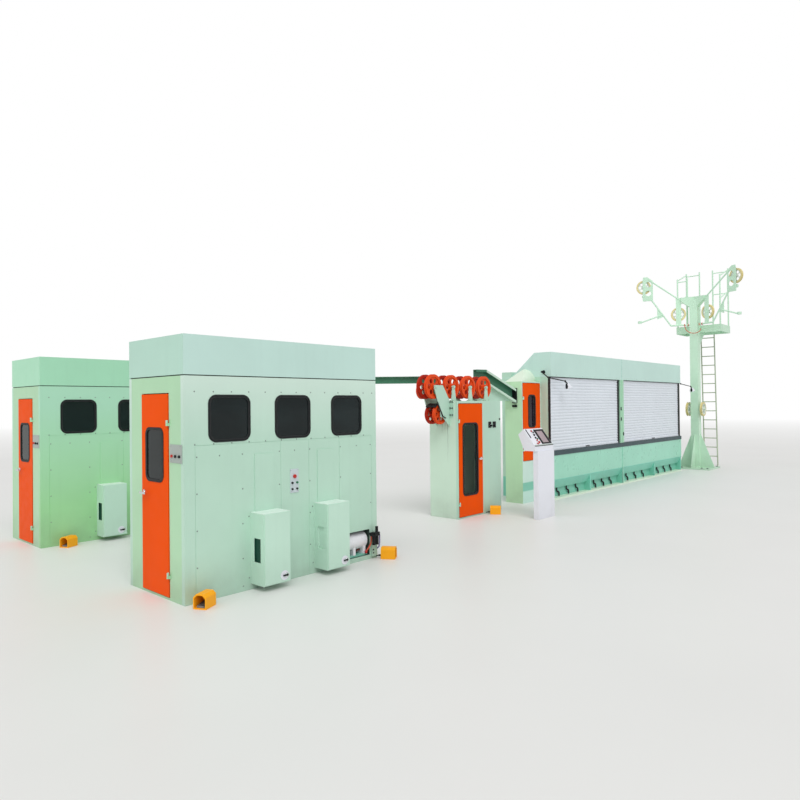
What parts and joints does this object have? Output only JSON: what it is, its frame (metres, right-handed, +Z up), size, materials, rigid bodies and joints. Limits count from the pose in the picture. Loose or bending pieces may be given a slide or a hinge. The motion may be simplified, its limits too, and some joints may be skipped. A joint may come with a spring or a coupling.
{
  "type": "wire drawing machine",
  "caption": "Two-wire drawing line: pay-off tower with sheaves and ladder, shuttered drawing housing, wire guide stand, take-up cabins with doors and a control console.",
  "frame": {"origin": "on the floor, at the middle of the drawing housing's footprint", "axes": "+X along the line from the take-up cabins to the pay-off tower, +Y away from the operator's aisle, +Z up"},
  "size_m": [16.096, 5.4089, 5.32],
  "materials": {
    "mint_paint": "satin",
    "door_paint": "satin",
    "sheave_paint": "satin",
    "cream_paint": "satin",
    "trough_paint": "satin",
    "dark_paint": "satin",
    "shutter_paint": "satin",
    "white_paint": "satin",
    "switch_paint": "satin",
    "rubber": "matte",
    "glass": "clear"
  },
  "bodies": {
    "line": {"near_cabin_front_wall": "mint_paint", "near_cabin_door_wall": "mint_paint", "near_cabin_rear_walls": "mint_paint", "near_cabin_hood": "mint_paint", "far_cabin_front_wall": "mint_paint", "far_cabin_door_wall": "mint_paint", "far_cabin_rear_walls": "mint_paint", "far_cabin_hood": "mint_paint", "cabin_windows": "glass", "cabin_service_boxes": "mint_paint", "cabin_air_units": "white_paint", "guide_stand_shell": "mint_paint", "guide_stand_front": "mint_paint", "guide_brackets": "mint_paint", "guide_end_bracket": "mint_paint", "inlet_trough": "trough_paint", "outlet_trough": "trough_paint", "housing_base": "mint_paint", "housing_lower_panels": "mint_paint", "housing_core": "mint_paint", "housing_posts": "mint_paint", "housing_sill": "dark_paint", "housing_shutters": "shutter_paint", "housing_hood": "mint_paint", "housing_rear_enclosure": "mint_paint", "drain_hoses": "rubber", "work_lamp": "dark_paint", "far_work_lamp": "dark_paint", "outlet_cabinet": "mint_paint", "outlet_cover": "mint_paint", "tower_column": "mint_paint", "tower_arms": "mint_paint", "tower_platform": "mint_paint", "tower_railing": "mint_paint", "tower_ladder": "mint_paint", "console_pedestal": "white_paint", "console_desk": "white_paint", "foot_switches": "switch_paint"},
    "near_cabin_door": {"near_cabin_door": "door_paint", "near_cabin_door_glass": "glass"},
    "far_cabin_door": {"far_cabin_door": "door_paint", "far_cabin_door_glass": "glass"},
    "guide_stand_door": {"guide_stand_door": "door_paint", "guide_stand_door_glass": "glass"},
    "outlet_door": {"outlet_door": "door_paint", "outlet_door_glass": "glass"},
    "guide_sheaves_1": {"guide_sheaves_1": "sheave_paint"},
    "guide_sheaves_2": {"guide_sheaves_2": "sheave_paint"},
    "guide_sheaves_3": {"guide_sheaves_3": "sheave_paint"},
    "guide_sheaves_4": {"guide_sheaves_4": "sheave_paint"},
    "guide_end_sheaves": {"guide_end_sheaves": "sheave_paint"},
    "guide_side_sheave": {"guide_side_sheave": "sheave_paint"},
    "guide_inner_wheel": {"guide_inner_wheel": "sheave_paint"},
    "tower_left_sheave": {"tower_left_sheave": "cream_paint"},
    "tower_right_sheave": {"tower_right_sheave": "cream_paint"},
    "tower_left_inner_sheave": {"tower_left_inner_sheave": "cream_paint"},
    "tower_right_inner_sheave": {"tower_right_inner_sheave": "cream_paint"},
    "tower_left_entry_sheave": {"tower_left_entry_sheave": "cream_paint"},
    "tower_right_entry_sheave": {"tower_right_entry_sheave": "cream_paint"}
  },
  "joints": [
    {"name": "near_cabin_door_hinge", "type": "hinge", "parent": "line", "child": "near_cabin_door", "pos_m": [-10.792, -0.848, 1], "axis": [0, 0, 1], "range_deg": [0, 110]},
    {"name": "far_cabin_door_hinge", "type": "hinge", "parent": "line", "child": "far_cabin_door", "pos_m": [-10.792, 2.682, 1], "axis": [0, 0, 1], "range_deg": [0, 110]},
    {"name": "guide_stand_door_hinge", "type": "hinge", "parent": "line", "child": "guide_stand_door", "pos_m": [-5.852, -0.402, 1], "axis": [0, 0, -1], "range_deg": [0, 110]},
    {"name": "outlet_door_hinge", "type": "hinge", "parent": "line", "child": "outlet_door", "pos_m": [-3.9, -0.327, 1.4], "axis": [0, 0, -1], "range_deg": [0, 110]},
    {"name": "guide_sheaves_1_spin", "type": "hinge", "parent": "line", "child": "guide_sheaves_1", "pos_m": [-6.205, -0.105, 2.02], "axis": [0, 1, 0], "continuous": true},
    {"name": "guide_sheaves_2_spin", "type": "hinge", "parent": "line", "child": "guide_sheaves_2", "pos_m": [-5.77, -0.105, 2.02], "axis": [0, 1, 0], "continuous": true},
    {"name": "guide_sheaves_3_spin", "type": "hinge", "parent": "line", "child": "guide_sheaves_3", "pos_m": [-5.335, -0.105, 2.02], "axis": [0, 1, 0], "continuous": true},
    {"name": "guide_sheaves_4_spin", "type": "hinge", "parent": "line", "child": "guide_sheaves_4", "pos_m": [-4.9, -0.105, 2.02], "axis": [0, 1, 0], "continuous": true},
    {"name": "guide_end_sheaves_spin", "type": "hinge", "parent": "line", "child": "guide_end_sheaves", "pos_m": [-6.055, -0.105, 1.6], "axis": [0, 1, 0], "continuous": true},
    {"name": "guide_side_sheave_spin", "type": "hinge", "parent": "line", "child": "guide_side_sheave", "pos_m": [-6.075, 0.144, 1.96], "axis": [0, 1, 0], "continuous": true},
    {"name": "guide_inner_wheel_spin", "type": "hinge", "parent": "line", "child": "guide_inner_wheel", "pos_m": [-5.64, -0.082, 0.69], "axis": [0, 1, 0], "continuous": true},
    {"name": "tower_left_sheave_spin", "type": "hinge", "parent": "line", "child": "tower_left_sheave", "pos_m": [3.66979, 0.54063, 4.86], "axis": [-0.9063, -0.4226, 0], "continuous": true},
    {"name": "tower_right_sheave_spin", "type": "hinge", "parent": "line", "child": "tower_right_sheave", "pos_m": [3.66979, -1.76063, 4.86], "axis": [0.9063, -0.4226, 0], "continuous": true},
    {"name": "tower_left_inner_sheave_spin", "type": "hinge", "parent": "line", "child": "tower_left_inner_sheave", "pos_m": [4.03324, -0.23879, 4.087], "axis": [-0.9063, -0.4226, 0], "continuous": true},
    {"name": "tower_right_inner_sheave_spin", "type": "hinge", "parent": "line", "child": "tower_right_inner_sheave", "pos_m": [4.03324, -0.98121, 4.087], "axis": [0.9063, -0.4226, 0], "continuous": true},
    {"name": "tower_left_entry_sheave_spin", "type": "hinge", "parent": "line", "child": "tower_left_entry_sheave", "pos_m": [4.16, -0.43, 1.56], "axis": [0, 1, 0], "continuous": true},
    {"name": "tower_right_entry_sheave_spin", "type": "hinge", "parent": "line", "child": "tower_right_entry_sheave", "pos_m": [4.16, -0.79, 1.56], "axis": [0, 1, 0], "continuous": true}
  ]
}
